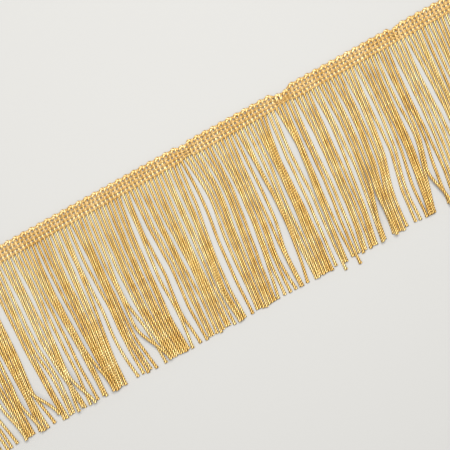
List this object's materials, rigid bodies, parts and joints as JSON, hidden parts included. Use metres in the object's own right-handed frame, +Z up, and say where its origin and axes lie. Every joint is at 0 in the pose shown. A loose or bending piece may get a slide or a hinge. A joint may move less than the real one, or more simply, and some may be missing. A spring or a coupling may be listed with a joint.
{
  "type": "fringe trim",
  "caption": "Length of gold metallic cord fringe lying flat: a crocheted heading with a looped top edge, and twisted cord strands cut level below it.",
  "frame": {"origin": "on the heading's flat back, half way along the trim and half way across the four stitch rows", "axes": "+X along the trim, -Y from the heading down the strands to the cut line, +Z up from the surface that the trim lies on"},
  "size_m": [0.3544, 0.106, 0.005],
  "materials": {
    "heading_yarn": "pale gold metallic yarn in chain stitch",
    "fringe_cord": "yellow gold metallic three-ply twisted cord"
  },
  "bodies": {
    "root": {"heading": "heading_yarn", "fringe": "fringe_cord"}
  },
  "joints": []
}
